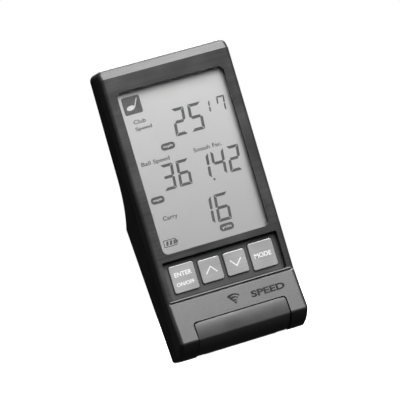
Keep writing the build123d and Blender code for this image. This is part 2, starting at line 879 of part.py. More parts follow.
# ---------------------------------------------------------------- stand
arm_outer = channel_outer - arm_gap
arm_inner = channel_inner + arm_gap
foot_half_width = foot_width / 2
toe_y = chin_y + foot_toe_recess
foot_floor_front = (floor_front[0], foot_lift)
foot_floor_rear = (floor_rear[0] + foot_lift * slope_sin - arm_recess, foot_lift)
foot_back_high = (
    floor_rear[0] + 2 * chin_height * slope_sin - arm_recess,
    2 * chin_height * slope_cos,
)
panel_y_above = bezel_y - (panel_top - foot_lip_height - foot_step) * panel_slope

with BuildSketch() as foot_outline:
    with BuildLine():
        Line((panel_y_above, foot_lip_height + foot_step), (panel_y_at_lip, foot_lip_height))
        SagittaArc((panel_y_at_lip, foot_lip_height), (toe_y, chin_height), -foot_lip_bulge)
        SagittaArc((toe_y, chin_height), foot_floor_front, -underside_bulge)
        Polyline(foot_floor_front, foot_floor_rear, foot_back_high)
        Line(foot_back_high, (panel_y_above, foot_lip_height + foot_step))
    make_face()
    fillet(foot_outline.vertices().sort_by(Axis.X)[0], chin_radius)
    with Locations((pin_y, pin_z)):
        Circle(foot_arc_radius, mode=Mode.SUBTRACT)

with BuildPart() as stand_leg:
    with BuildSketch(Plane.YZ):
        add(foot_outline.sketch)
    extrude(amount=foot_half_width, both=True)
    with BuildSketch(Plane.XZ):
        RectangleRounded(foot_width, 2 * foot_lip_height, foot_corner_radius)
    extrude(amount=body_width, both=True, mode=Mode.INTERSECT)
    lip_edges = stand_leg.edges().filter_by(lambda e: abs(abs(e.center().X) - foot_half_width) < slip)
    lip_front = lip_edges.filter_by(lambda e: e.center().Y < chin_y + chin_radius and e.center().Z > foot_lift)
    fillet(lip_front, foot_edge_radius)
    # wide rear part of the foot, the arms and the knuckles
    with BuildSketch(Plane.YZ):
        add(foot_outline.sketch)
        with Locations((-foot_step + foot_side_gap - body_width / 2, 0)):
            Rectangle(body_width, body_height, mode=Mode.SUBTRACT)
    extrude(amount=arm_outer, both=True)
    with BuildSketch(back_level(-arm_recess)):
        for side in (-1, 1):
            with Locations((side * arm_mid, (pin_height + foot_back_low) / 2)):
                Rectangle(arm_width, pin_height - foot_back_low)
    extrude(amount=-arm_thickness)
    for side in (-1, 1):
        with BuildSketch(Plane.YZ.offset(side * arm_inner)):
            with Locations((pin_y, pin_z)):
                Circle(knuckle_radius)
        extrude(amount=side * arm_width)
    for side in (-1, 1):
        with BuildSketch(Plane.YZ.offset(side * (arm_outer - washer_thickness - slip))):
            with Locations((pin_y, pin_z)):
                Circle(knuckle_radius + knuckle_gap / 2)
        extrude(amount=side * arm_width, mode=Mode.SUBTRACT)
    with BuildSketch(Plane.YZ):
        with Locations((pin_y, pin_z)):
            Circle(pin_radius + pin_running_clearance)
    extrude(amount=body_width, both=True, mode=Mode.SUBTRACT)
    # three pockets in the foot, open at the top
    pocket_width = (foot_width - 2 * foot_wall + foot_rib) / foot_pockets - foot_rib
    for column in range(foot_pockets):
        with BuildSketch(Plane.YZ.offset(foot_wall - foot_half_width + column * (pocket_width + foot_rib))):
            with Locations((0, 2 * foot_wall)):
                offset(foot_outline.sketch, amount=-foot_wall)
            offset(foot_outline.sketch, amount=-foot_wall)
        extrude(amount=pocket_width, mode=Mode.SUBTRACT)
    with BuildSketch(Plane.XY.offset(foot_lift)):
        with Locations((0, (floor_front[0] + floor_rear[0]) / 2)):
            Rectangle(pad_width + 2 * slip, pad_length + 2 * slip)
    extrude(amount=pad_thickness - pad_stand, mode=Mode.SUBTRACT)
save(stand_leg, "stand_leg")

with BuildPart() as stand_pad:
    with BuildSketch(Plane.XY.offset(foot_lift - pad_stand)):
        with Locations((0, (floor_front[0] + floor_rear[0]) / 2)):
            Rectangle(pad_width, pad_length)
    extrude(amount=pad_thickness)
save(stand_pad, "stand_pad")

with BuildPart() as stand_pin:
    with BuildSketch(Plane.YZ):
        with Locations((pin_y, pin_z)):
            Circle(pin_radius)
    extrude(amount=channel_outer + web_width - slip, both=True)
save(stand_pin, "stand_pin")

with BuildPart() as stand_washers:
    for side in (-1, 1):
        with BuildSketch(Plane.YZ.offset(side * (channel_outer - slip))):
            with Locations((pin_y, pin_z)):
                Circle(knuckle_radius - washer_margin)
                Circle(pin_radius + pin_running_clearance, mode=Mode.SUBTRACT)
        extrude(amount=-side * washer_thickness)
save(stand_washers, "stand_washers")

# ---------------------------------------------------------------- screws of the case and the board


def screw_group(places, seat_depth, radius, head_radius, head_height, length):
    """Screws driven from the back: heads behind the seat and shanks in front of it, with cross slots."""
    with BuildPart() as group:
        with BuildSketch(front_plane(seat_depth)):
            with Locations(*places):
                Circle(radius)
        extrude(amount=length)
        with BuildSketch(front_plane(seat_depth)):
            with Locations(*places):
                Circle(head_radius)
        extrude(amount=-head_height)
        with BuildSketch(front_plane(seat_depth + head_height)):
            with Locations(*places):
                Rectangle(slot_length_share * head_radius, slot_width)
                Rectangle(slot_width, slot_length_share * head_radius)
        extrude(amount=slot_depth, mode=Mode.SUBTRACT)
    return group


case_screw_length = screw_seat_depth - board_depth + screw_bite - 2 * slip
board_screw_length = board_thickness + screw_bite - 2 * slip
save(
    screw_group(case_screws, screw_seat_depth, screw_radius, screw_head_radius, screw_head_height,
                case_screw_length),
    "case_screws",
)
save(
    screw_group(board_screws, board_back, board_screw_radius, board_screw_head, board_screw_radius,
                board_screw_length),
    "board_screws",
)
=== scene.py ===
"""Looks of a pocket sports radar: paint, plastics, display contents, key legends and the workings inside.

Metres. X is to the right as seen from the front, Y runs from front to back, Z is up.
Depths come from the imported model's boxes, or from rays cast on it. Places on the display and on the panel
are in millimetres from the middle of the case and above its base.
"""
from math import cos, pi, radians, sin

import bmesh
import bpy
import numpy as np
from mathutils import Matrix, Vector
from mathutils.bvhtree import BVHTree


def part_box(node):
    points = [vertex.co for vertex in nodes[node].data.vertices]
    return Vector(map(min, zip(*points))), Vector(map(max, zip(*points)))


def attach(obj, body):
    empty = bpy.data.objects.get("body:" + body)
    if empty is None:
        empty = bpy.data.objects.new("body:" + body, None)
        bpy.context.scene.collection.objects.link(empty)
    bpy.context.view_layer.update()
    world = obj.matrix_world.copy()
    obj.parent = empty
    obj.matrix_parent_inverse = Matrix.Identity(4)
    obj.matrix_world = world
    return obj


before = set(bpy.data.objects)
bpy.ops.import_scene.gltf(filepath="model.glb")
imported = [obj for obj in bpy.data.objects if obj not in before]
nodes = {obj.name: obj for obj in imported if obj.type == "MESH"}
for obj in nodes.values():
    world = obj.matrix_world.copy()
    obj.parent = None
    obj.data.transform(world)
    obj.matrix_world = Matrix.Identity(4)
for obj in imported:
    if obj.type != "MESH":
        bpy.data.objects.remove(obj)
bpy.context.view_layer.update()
MM = 0.001

# ---------------------------------------------------------------- shader trees


def put(tree, kind, inputs=None, **settings):
    """Add a node. Settings are its own properties; inputs are values or the sockets that feed them."""
    new = tree.nodes.new(kind)
    for key, value in settings.items():
        setattr(new, key, value)
    for key, value in (inputs or {}).items():
        feed(tree, new.inputs[key], value)
    return new


def feed(tree, socket, value):
    """Link a socket to its source, or set its value."""
    if isinstance(value, bpy.types.NodeSocket):
        tree.links.new(value, socket)
    else:
        socket.default_value = value


def maths(tree, operation, *values, clamp=False):
    """The result of a Math node on these values or sockets."""
    inputs = dict(enumerate(values))
    return put(tree, "ShaderNodeMath", inputs, operation=operation, use_clamp=clamp).outputs[0]


def remap(tree, value, low, high, to_low=0.0, to_high=1.0):
    """The value moved from one range to another, and held within it."""
    inputs = {"Value": value, "From Min": low, "From Max": high, "To Min": to_low, "To Max": to_high}
    return put(tree, "ShaderNodeMapRange", inputs).outputs[0]


def blend_colours(tree, share, first, second):
    """Two colours mixed by a share from 0 to 1."""
    mix = put(tree, "ShaderNodeMix", data_type="RGBA")
    for socket, value in ((mix.inputs[0], share), (mix.inputs[6], first), (mix.inputs[7], second)):
        feed(tree, socket, value)
    return mix.outputs[2]


def effect(name, takes, gives):
    """An empty node group with number inputs and number outputs of these names."""
    tree = bpy.data.node_groups.new(name, "ShaderNodeTree")
    for label, value in takes.items():
        socket = tree.interface.new_socket(name=label, in_out="INPUT", socket_type="NodeSocketFloat")
        socket.default_value = value
    for label in gives:
        tree.interface.new_socket(name=label, in_out="OUTPUT", socket_type="NodeSocketFloat")
    return tree, put(tree, "NodeGroupInput").outputs, put(tree, "NodeGroupOutput").inputs


def use(tree, group, **values):
    """The outputs of a node group placed in a tree, with its inputs set by name."""
    inputs = {key.replace("_", " ").capitalize(): value for key, value in values.items()}
    return put(tree, "ShaderNodeGroup", inputs, node_tree=group).outputs


NOISE_LOW, NOISE_HIGH = 0.3, 0.7
NOISE_MIDDLE = 0.5


def make_grain():
    """Moulded texture: cells of spark-eroded steel with finer noise on top."""
    cell_height = 0.6
    tree, given, out = effect("moulded_grain", {"Scale": 1500.0, "Contrast": 0.5}, ("Shade", "Height"))
    place = put(tree, "ShaderNodeTexCoord").outputs["Object"]
    coarse = put(tree, "ShaderNodeTexNoise", {"Vector": place, "Scale": given["Scale"], "Detail": 3.0})
    cells = put(tree, "ShaderNodeTexVoronoi", {"Vector": place, "Scale": given["Scale"]})
    height = maths(tree, "MULTIPLY_ADD", cells.outputs["Distance"], cell_height, coarse.outputs[0])
    swing = maths(tree, "SUBTRACT", coarse.outputs[0], NOISE_MIDDLE)
    shade = maths(tree, "MULTIPLY_ADD", swing, given["Contrast"], NOISE_MIDDLE, clamp=True)
    feed(tree, out["Shade"], shade)
    feed(tree, out["Height"], height)
    return tree


def make_hairlines():
    """Fine brushed lines that run along X, with long soft bands among them."""
    scale_along = 18.0
    fine_share, broad_share = 0.78, 0.22
    tree, given, out = effect("hairlines", {"Lines": 1600.0, "Bands": 160.0}, ("Shade", "Height"))
    place = put(tree, "ShaderNodeTexCoord").outputs["Object"]
    parts = put(tree, "ShaderNodeSeparateXYZ", {"Vector": place}).outputs
    run = maths(tree, "MULTIPLY", parts["X"], scale_along)
    shades = []
    for pitch, detail in ((given["Lines"], 4.0), (given["Bands"], 2.0)):
        across = maths(tree, "MULTIPLY", parts["Z"], pitch)
        depth = maths(tree, "MULTIPLY", parts["Y"], pitch)
        lines = put(tree, "ShaderNodeCombineXYZ", {"X": run, "Y": depth, "Z": across}).outputs[0]
        noise = put(tree, "ShaderNodeTexNoise", {"Vector": lines, "Scale": 1.0, "Detail": detail})
        shades.append(remap(tree, noise.outputs[0], NOISE_LOW, NOISE_HIGH))
    fine, broad = shades
    bands = maths(tree, "MULTIPLY", broad, broad_share)
    feed(tree, out["Shade"], maths(tree, "MULTIPLY_ADD", fine, fine_share, bands))
    feed(tree, out["Height"], fine)
    return tree


def make_edge_wear():
    """Worn edges: where a rounded normal leaves the true one, broken up by patches."""
    first_wear, full_wear = 0.01, 0.12
    patch_low, patch_high = 0.42, 0.6
    takes = {"Radius": 0.0004, "Patches": 420.0, "Amount": 0.5}
    tree, given, out = effect("edge_wear", takes, ("Mask",))
    round_normal = put(tree, "ShaderNodeBevel", {"Radius": given["Radius"]}, samples=4).outputs[0]
    flat_normal = put(tree, "ShaderNodeNewGeometry").outputs["Normal"]
    inputs = {0: round_normal, 1: flat_normal}
    closeness = put(tree, "ShaderNodeVectorMath", inputs, operation="DOT_PRODUCT").outputs["Value"]
    edge = remap(tree, maths(tree, "SUBTRACT", 1.0, closeness), first_wear, full_wear)
    place = put(tree, "ShaderNodeTexCoord").outputs["Object"]
    patches = put(tree, "ShaderNodeTexNoise", {"Vector": place, "Scale": given["Patches"], "Detail": 4.0})
    broken = remap(tree, patches.outputs[0], patch_low, patch_high)
    worn = maths(tree, "MULTIPLY", edge, broken)
    feed(tree, out["Mask"], maths(tree, "MULTIPLY", worn, given["Amount"], clamp=True))
    return tree


def make_handling():
    """Faint marks of handling: large cloudy smears crossed by finer rubs."""
    rub_share, smear_share = 0.3, 0.7
    tree, given, out = effect("handling_marks", {"Scale": 60.0, "Rubs": 900.0}, ("Shade",))
    place = put(tree, "ShaderNodeTexCoord").outputs["Object"]
    cloud = put(tree, "ShaderNodeTexNoise", {"Vector": place, "Scale": given["Scale"], "Detail": 2.0})
    rubs = put(tree, "ShaderNodeTexNoise", {"Vector": place, "Scale": given["Rubs"], "Detail": 6.0})
    soft = remap(tree, cloud.outputs[0], NOISE_LOW, NOISE_HIGH)
    smears = maths(tree, "MULTIPLY", soft, smear_share)
    feed(tree, out["Shade"], maths(tree, "MULTIPLY_ADD", rubs.outputs[0], rub_share, smears))
    return tree


def make_dust():
    """Dust that settles where a surface looks up, in small specks."""
    least_facing = 0.2
    speck_low, speck_high = 0.5, 0.7
    tree, given, out = effect("settled_dust", {"Scale": 1800.0, "Amount": 0.2}, ("Mask",))
    normal = put(tree, "ShaderNodeNewGeometry").outputs["Normal"]
    upward = put(tree, "ShaderNodeSeparateXYZ", {"Vector": normal}).outputs["Z"]
    place = put(tree, "ShaderNodeTexCoord").outputs["Object"]
    specks = put(tree, "ShaderNodeTexNoise", {"Vector": place, "Scale": given["Scale"], "Detail": 5.0})
    facing = remap(tree, upward, least_facing, 1.0)
    lying = maths(tree, "MULTIPLY", facing, remap(tree, specks.outputs[0], speck_low, speck_high))
    feed(tree, out["Mask"], maths(tree, "MULTIPLY", lying, given["Amount"], clamp=True))
    return tree


GRAIN = make_grain()
HAIRLINES = make_hairlines()
EDGE_WEAR = make_edge_wear()
HANDLING = make_handling()
DUST = make_dust()
MARK_SHARE, GRAIN_SHARE = 0.35, 0.65
WORN_GLOSS = -0.08
DUST_ROUGHNESS = 0.3


def grey(value, warm=0.0):
    """A near-neutral colour of this linear brightness, a little warmer or cooler."""
    return (value * (1 + warm), value, value * (1 - warm), 1.0)


HOUSE_DUST = grey(0.35, 0.04)


def start_material(name, **uniform):
    """A material with a Principled shader, and the values that are the same all over it."""
    material = bpy.data.materials.new(name)
    material.use_nodes = True
    tree = material.node_tree
    shader = tree.nodes["Principled BSDF"]
    for key, value in uniform.items():
        shader.inputs[key.replace("_", " ")].default_value = value
    return material, tree, shader


def bump(tree, shader, height, depth):
    """Raise the surface by a height pattern of this depth."""
    inputs = {"Height": height, "Distance": depth, "Strength": 1.0}
    feed(tree, shader.inputs["Normal"], put(tree, "ShaderNodeBump", inputs).outputs[0])


def moulded(name, dark, light, rough=(0.35, 0.5), scale=1500.0, depth=4e-6, lines=0.0,
            wear=None, wear_radius=0.0004, dust=0.15, **uniform):
    """A solid finish: two close shades in its grain, smears in its gloss, worn edges and some dust."""
    least_marked, most_marked = 0.25, 0.75
    material, tree, shader = start_material(name, **uniform)
    grain = use(tree, GRAIN, scale=scale, contrast=1.0)
    marks = use(tree, HANDLING)["Shade"]
    shade, height = grain["Shade"], grain["Height"]
    if lines:
        brushed = use(tree, HAIRLINES, lines=lines)
        shade, height = brushed["Shade"], brushed["Height"]
    clouded = maths(tree, "MULTIPLY_ADD", marks, MARK_SHARE, maths(tree, "MULTIPLY", shade, GRAIN_SHARE))
    colour = blend_colours(tree, clouded, dark, light)
    gloss = remap(tree, marks, least_marked, most_marked, *rough)
    if wear:
        worn = use(tree, EDGE_WEAR, radius=wear_radius)["Mask"]
        colour = blend_colours(tree, worn, colour, wear)
        gloss = maths(tree, "MULTIPLY_ADD", worn, WORN_GLOSS, gloss)
    settled = use(tree, DUST, amount=dust)["Mask"]
    colour = blend_colours(tree, settled, colour, HOUSE_DUST)
    feed(tree, shader.inputs["Base Color"], colour)
    feed(tree, shader.inputs["Roughness"], maths(tree, "MULTIPLY_ADD", settled, DUST_ROUGHNESS, gloss))
    bump(tree, shader, height, depth)
    return material


# ---------------------------------------------------------------- special finishes

SHADE_LOW, SHADE_HIGH = 0.2, 0.8


def display_film_finish():
    """Reflective display film with the fine sparkle of the foil behind it; its colour is painted lighter
    towards its top, as light from above would make it.
    """
    # the darker grey is painted shade at the film's bottom, the lighter grey painted light at its top
    film_painted_shade, film_painted_light = grey(0.395), grey(0.58)
    cloud_share, sparkle_share = 0.07, 0.16
    cloud_grey, speck_grey = grey(0.4), grey(0.3)
    rough_low, rough_high = 0.32, 0.5
    relief = 2e-6
    material, tree, shader = start_material("display_film")
    low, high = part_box("display_front_film")
    place = put(tree, "ShaderNodeTexCoord").outputs["Object"]
    parts = put(tree, "ShaderNodeSeparateXYZ", {"Vector": place}).outputs
    upward = remap(tree, parts["Z"], low.z, high.z)
    sparkle = use(tree, GRAIN, scale=5200.0, contrast=1.6)
    cloud = put(tree, "ShaderNodeTexNoise", {"Vector": place, "Scale": 34.0, "Detail": 2.0}).outputs[0]
    # painted light: the colour runs from the painted shade at the bottom to the painted light at the top
    ground = blend_colours(tree, upward, film_painted_shade, film_painted_light)
    clouds = remap(tree, cloud, NOISE_LOW, NOISE_HIGH, 0.0, cloud_share)
    clouded = blend_colours(tree, clouds, ground, cloud_grey)
    specks = maths(tree, "MULTIPLY", sparkle["Shade"], sparkle_share)
    speckled = blend_colours(tree, specks, clouded, speck_grey)
    feed(tree, shader.inputs["Base Color"], speckled)
    gloss = remap(tree, sparkle["Shade"], SHADE_LOW, SHADE_HIGH, rough_low, rough_high)
    feed(tree, shader.inputs["Roughness"], gloss)
    bump(tree, shader, sparkle["Height"], relief)
    return material


def clear_finish(name, roughness=(0.02, 0.06), tint=0.98):
    """Clear moulded sheet that lets light pass, with faint smears in its gloss."""
    smear_tint = 0.03
    shadow_tint = 0.96
    least_marked, most_marked = 0.3, 0.8
    material, tree, shader = start_material(name, IOR=1.49, Transmission_Weight=1.0)
    marks = use(tree, HANDLING, scale=45.0)["Shade"]
    feed(tree, shader.inputs["Roughness"], remap(tree, marks, least_marked, most_marked, *roughness))
    feed(tree, shader.inputs["Base Color"], blend_colours(tree, marks, grey(tint), grey(tint - smear_tint)))
    rays = put(tree, "ShaderNodeLightPath").outputs
    passing = maths(tree, "MAXIMUM", rays["Is Shadow Ray"], rays["Is Diffuse Ray"])
    through = put(tree, "ShaderNodeBsdfTransparent", {"Color": grey(shadow_tint)}).outputs[0]
    inputs = {0: passing, 1: shader.outputs[0], 2: through}
    both = put(tree, "ShaderNodeMixShader", inputs).outputs[0]
    feed(tree, tree.nodes["Material Output"].inputs["Surface"], both)
    return material


def board_finish():
    """Circuit board: solder mask over copper tracks that run in two directions, with bare dots."""
    mask_dark, mask_light = (0.010, 0.050, 0.026, 1), (0.016, 0.075, 0.038, 1)
    track_green, bare_copper = (0.05, 0.17, 0.07, 1), (0.55, 0.46, 0.30, 1)
    dot_core, dot_rim = 0.1, 0.14
    track_share = 0.55
    relief = 2e-5
    material, tree, shader = start_material("circuit_board", Roughness=0.35, Coat_Weight=0.3)
    place = put(tree, "ShaderNodeTexCoord").outputs["Object"]
    parts = put(tree, "ShaderNodeSeparateXYZ", {"Vector": place}).outputs
    flat = put(tree, "ShaderNodeCombineXYZ", {"X": parts["X"], "Y": parts["Z"]}).outputs[0]
    inputs = {"Vector": flat, "Scale": 1.0, "Mortar Size": 0.0004, "Mortar Smooth": 0.1,
              "Brick Width": 0.0046, "Row Height": 0.0021}
    tracks = put(tree, "ShaderNodeTexBrick", inputs).outputs["Fac"]
    dots = put(tree, "ShaderNodeTexVoronoi", {"Vector": flat, "Scale": 330.0}).outputs["Distance"]
    holes = remap(tree, dots, dot_core, dot_rim, 1.0, 0.0)
    grain = use(tree, GRAIN, scale=2600.0, contrast=0.8)
    mask_colour = blend_colours(tree, grain["Shade"], mask_dark, mask_light)
    tracked = blend_colours(tree, maths(tree, "MULTIPLY", tracks, track_share), mask_colour, track_green)
    feed(tree, shader.inputs["Base Color"], blend_colours(tree, holes, tracked, bare_copper))
    feed(tree, shader.inputs["Metallic"], holes)
    bump(tree, shader, maths(tree, "ADD", tracks, holes), relief)
    return material


def cell_finish():
    """Printed jacket of a battery cell: a light band above a dark one, with fine foil lines."""
    band_start, blur = 0.70, 0.005
    top_rim, bottom_rim = 0.975, 0.015
    band_colour = (0.50, 0.30, 0.12, 1)
    jacket_dark, jacket_light, can_grey = grey(0.02), grey(0.05), grey(0.6)
    rough_low, rough_high = 0.25, 0.4
    relief = 3e-6
    material, tree, shader = start_material("cell_jacket", Metallic=0.35, Coat_Weight=0.4)
    low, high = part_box("battery_cell_1")
    place = put(tree, "ShaderNodeTexCoord").outputs["Object"]
    along = remap(tree, put(tree, "ShaderNodeSeparateXYZ", {"Vector": place}).outputs["Z"], low.z, high.z)
    upper = remap(tree, along, band_start, band_start + blur)
    top_end = remap(tree, along, top_rim, top_rim + blur)
    ends = maths(tree, "MAXIMUM", top_end, remap(tree, along, bottom_rim + blur, bottom_rim))
    foil = use(tree, HAIRLINES, lines=2400.0)
    body = blend_colours(tree, foil["Shade"], jacket_dark, jacket_light)
    banded = blend_colours(tree, upper, body, band_colour)
    feed(tree, shader.inputs["Base Color"], blend_colours(tree, ends, banded, can_grey))
    gloss = remap(tree, foil["Shade"], SHADE_LOW, SHADE_HIGH, rough_low, rough_high)
    feed(tree, shader.inputs["Roughness"], gloss)
    bump(tree, shader, foil["Height"], relief)
    return material


def metal(name, dark, light, rough, lines=900.0, depth=3e-6):
    """Bare or plated metal with drawn or rolled lines in it."""
    return moulded(name, dark, light, rough, lines=lines, depth=depth, wear=grey(0.75), dust=0.1,
                   Metallic=1.0)


FINISHES = {
    "front_paint": moulded("front_paint", grey(0.052), grey(0.103), (0.30, 0.40), lines=1500.0, depth=5e-6,
                           wear=grey(0.2), Metallic=0.55),
    "panel_paint": moulded("panel_paint", grey(0.045), grey(0.115), (0.30, 0.40), scale=2600.0, depth=4e-6,
                           wear=grey(0.2), Metallic=0.55),
    "black_plastic": moulded("black_plastic", grey(0.014), grey(0.026), (0.36, 0.5), scale=2200.0,
                             depth=9e-6, wear=grey(0.07)),
    "stand_plastic": moulded("stand_plastic", grey(0.045), grey(0.085), (0.28, 0.42), scale=2600.0,
                             depth=5e-6, wear=grey(0.12)),
    "plate_plastic": moulded("plate_plastic", grey(0.055), grey(0.085), (0.35, 0.5), scale=2600.0,
                             depth=6e-6, wear=grey(0.12)),
    "key_silver": moulded("key_silver", grey(0.37), grey(0.50), (0.28, 0.4), lines=2200.0, depth=3e-6,
                          wear=grey(0.85), wear_radius=0.0006, dust=0.05, Metallic=0.25),
    "inner_plastic": moulded("inner_plastic", grey(0.03), grey(0.06), (0.45, 0.6), scale=1800.0, depth=8e-6,
                             wear=grey(0.12)),
    "white_plastic": moulded("white_plastic", grey(0.55), grey(0.72), (0.4, 0.55), scale=2400.0, depth=4e-6,
                             wear=grey(0.85)),
    "switch_plastic": moulded("switch_plastic", grey(0.05), grey(0.10), (0.4, 0.55), scale=3200.0,
                              depth=4e-6, wear=grey(0.2)),
    "rubber": moulded("rubber", grey(0.012), grey(0.022), (0.7, 0.9), scale=3600.0, depth=1.2e-5,
                      wear=grey(0.04), dust=0.5),
    "contact_rubber": moulded("contact_rubber", grey(0.03), grey(0.30), (0.5, 0.7), lines=5200.0, depth=6e-6),
    "foam": moulded("foam", grey(0.02), grey(0.10), (0.85, 1.0), scale=1400.0, depth=1.2e-4, dust=0.4),
    "copper": metal("copper", (0.72, 0.34, 0.17, 1), (0.86, 0.48, 0.28, 1), (0.25, 0.45)),
    "tin_plate": metal("tin_plate", grey(0.48), grey(0.66), (0.22, 0.4)),
    "steel": metal("steel", grey(0.36), grey(0.56), (0.2, 0.38), lines=2600.0),
    "black_screw": moulded("black_screw", grey(0.012), grey(0.03), (0.3, 0.5), lines=3200.0, depth=4e-6,
                           wear=grey(0.4), Metallic=0.7),
    "reflector_foil": metal("reflector_foil", grey(0.6), grey(0.8), (0.3, 0.5), lines=400.0, depth=6e-6),
    "cable_film": moulded("cable_film", (0.42, 0.17, 0.03, 1), (0.60, 0.29, 0.07, 1), (0.3, 0.45),
                          lines=1200.0, depth=1e-5, Coat_Weight=0.3),
    "chip_black": moulded("chip_black", grey(0.010), grey(0.03), (0.55, 0.85), scale=5200.0, depth=8e-6,
                          wear=grey(0.06)),
    "capacitor_body": moulded("capacitor_body", (0.16, 0.10, 0.06, 1), (0.30, 0.21, 0.13, 1), (0.35, 0.5),
                              scale=5200.0, depth=4e-6, wear=grey(0.5)),
    "display_film": display_film_finish(),
    "window_clear": clear_finish("window_clear"),
    "display_glass": clear_finish("display_glass", (0.01, 0.03), 0.93),
    "circuit_board": board_finish(),
    "cell_jacket": cell_finish(),
    "display_ink": moulded("display_ink", grey(0.040), grey(0.062), (0.4, 0.55), scale=5200.0, depth=1e-6,
                           dust=0.0),
    "display_light": moulded("display_light", grey(0.56), grey(0.68), (0.4, 0.5), scale=5200.0, depth=1e-6,
                             dust=0.0),
    "white_print": moulded("white_print", grey(0.80), grey(0.95), (0.35, 0.5), scale=5200.0, depth=2e-6,
                           dust=0.0),
    "dark_print": moulded("dark_print", grey(0.008), grey(0.016), (0.75, 0.9), scale=5200.0, depth=2e-6,
                          dust=0.05),
}

WORN_BY = {
    "front_paint": "front_case",
    "panel_paint": "radar_cover",
    "black_plastic": "rear_case battery_door",
    "stand_plastic": "stand_leg",
    "plate_plastic": "key_plate",
    "key_silver": "key_enter key_up key_down key_mode",
    "inner_plastic": "battery_tray display_frame radar_cable_socket",
    "white_plastic": "stand_washers",
    "switch_plastic": "key_switches switch_button_enter switch_button_up "
                      "switch_button_down switch_button_mode",
    "rubber": "stand_pad window_seal",
    "contact_rubber": "display_contact_strips",
    "foam": "battery_door_pad",
    "copper": "radar_patches",
    "tin_plate": "radar_shield contact_plates",
    "steel": "battery_springs stand_pin board_screws tray_screws radar_screws crystal",
    "black_screw": "case_screws",
    "reflector_foil": "display_reflector",
    "cable_film": "radar_cable",
    "chip_black": "processor_chip memory_chip power_chip",
    "capacitor_body": "capacitors",
    "display_film": "display_front_film",
    "window_clear": "display_window",
    "display_glass": "display_front_glass display_rear_glass",
    "circuit_board": "main_board radar_board",
    "cell_jacket": "battery_cell_1 battery_cell_2 battery_cell_3 battery_cell_4",
}
for finish, wearers in WORN_BY.items():
    for wearer in wearers.split():
        nodes[wearer].data.materials.clear()
        nodes[wearer].data.materials.append(FINISHES[finish])

# ---------------------------------------------------------------- flat pieces: digits, words and signs


def prism(outline, front, back):
    """An outline of (x, z) points carried straight from y = front to y = back, and capped at both ends."""
    ring = np.asarray(outline, float)
    count = len(ring)
    points = np.empty((2 * count, 3))
    points[:, [0, 2]] = np.vstack((ring, ring))
    points[:, 1] = np.repeat((front, back), count)
    here = np.arange(count)
    after = (here + 1) % count
    sides = np.stack((here, here + count, after + count, after), 1).tolist()
    return points, sides + [here.tolist(), (here[::-1] + count).tolist()]


def lettering(text, width, height, thickness, weight):
    """The solid letters of a text, centred on the origin, their faces towards -Y, as points and faces.

    The outline of the font is thickened by the weight, carried straight to a solid, and fitted to the box.
    """
    same_point = 1e-5
    curve = bpy.data.curves.new("letters", "FONT")
    curve.body = text
    curve.size = 1.0
    curve.extrude = 0.5
    curve.offset = weight
    curve.resolution_u = 4
    holder = bpy.data.objects.new("letters", curve)
    solid = bpy.data.meshes.new_from_object(holder)
    shape = bmesh.new()
    shape.from_mesh(solid)
    bmesh.ops.remove_doubles(shape, verts=shape.verts, dist=same_point)
    shape.to_mesh(solid)
    shape.free()
    flat = np.empty(3 * len(solid.vertices))
    solid.vertices.foreach_get("co", flat)
    flat = flat.reshape(-1, 3)
    faces = [list(polygon.vertices) for polygon in solid.polygons]
    middle = (flat.max(0) + flat.min(0)) / 2
    flat = (flat - middle) / (flat.max(0) - flat.min(0))
    points = np.stack((flat[:, 0] * width, -flat[:, 2] * thickness, flat[:, 1] * height), 1)
    bpy.data.meshes.remove(solid)
    bpy.data.objects.remove(holder)
    bpy.data.curves.remove(curve)
    return points, faces


def moved(solid, place):
    """The same points and faces, shifted by a vector."""
    points, faces = solid
    return points + np.asarray(place, float), faces


def piece(name, solids, body, finish):
    """One mesh piece from several solids, riding on a body, with its faces turned outwards."""
    rows, faces, first = [], [], 0
    for points, corners in solids:
        rows.append(points)
        faces.extend([[first + corner for corner in face] for face in corners])
        first += len(points)
    mesh = bpy.data.meshes.new(name)
    mesh.from_pydata(np.vstack(rows).tolist(), [], faces)
    shape = bmesh.new()
    shape.from_mesh(mesh)
    bmesh.ops.recalc_face_normals(shape, faces=shape.faces)
    shape.to_mesh(mesh)
    shape.free()
    mesh.materials.append(FINISHES[finish])
    made = bpy.data.objects.new(name, mesh)
    bpy.context.scene.collection.objects.link(made)
    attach(made, body)


CORNER_STEPS = 6
SHARPEST = 0.35
full_turn = np.linspace(0, 2 * pi, 24, endpoint=False)


def rounded(x0, x1, z0, z1, radius):
    """The outline of a rectangle with quarter-circle corners, as (x, z) points."""
    quarter_turn = np.linspace(0, pi / 2, CORNER_STEPS)
    rings = []
    left, right, low, high = x0 + radius, x1 - radius, z0 + radius, z1 - radius
    corners = ((right, high), (left, high), (left, low), (right, low))
    for quarter, (x, z) in enumerate(corners):
        angle = quarter_turn + quarter * pi / 2
        rings.append(np.stack((x + radius * np.cos(angle), z + radius * np.sin(angle)), 1))
    return np.vstack(rings)


def stroke(points, width):
    """The outline of a line of this width along (x, z) points.

    It is offset to one side going and to the other coming back, at right angles to the mean direction at each
    point. Between its ends the offset grows by 1 / cosine of the turn since the first step, at most by
    1 / SHARPEST. That mitres a single bend, and makes the far side of an arc heavier.
    """
    line = np.asarray(points, float)
    steps = np.diff(line, axis=0)
    unit = steps / np.linalg.norm(steps, axis=1)[:, None]
    along = np.vstack((steps[:1], unit[1:] + unit[:-1], steps[-1:]))
    along /= np.linalg.norm(along, axis=1)[:, None]
    aside = np.stack((-along[:, 1], along[:, 0]), 1)
    true_side = np.array((-unit[0, 1], unit[0, 0]))
    stretch = np.ones(len(line))
    stretch[1:-1] = 1 / np.clip(np.abs(aside[1:-1] @ true_side), SHARPEST, 1)
    aside *= stretch[:, None] * width / 2
    return np.vstack((line + aside, (line - aside)[::-1]))


SEGMENTS = {"1": "bc", "2": "abged", "3": "abgcd", "4": "fgbc", "5": "afgcd", "6": "afgedc", "7": "fabc"}
SLANT = 0.10
BAR_GAP = 0.12


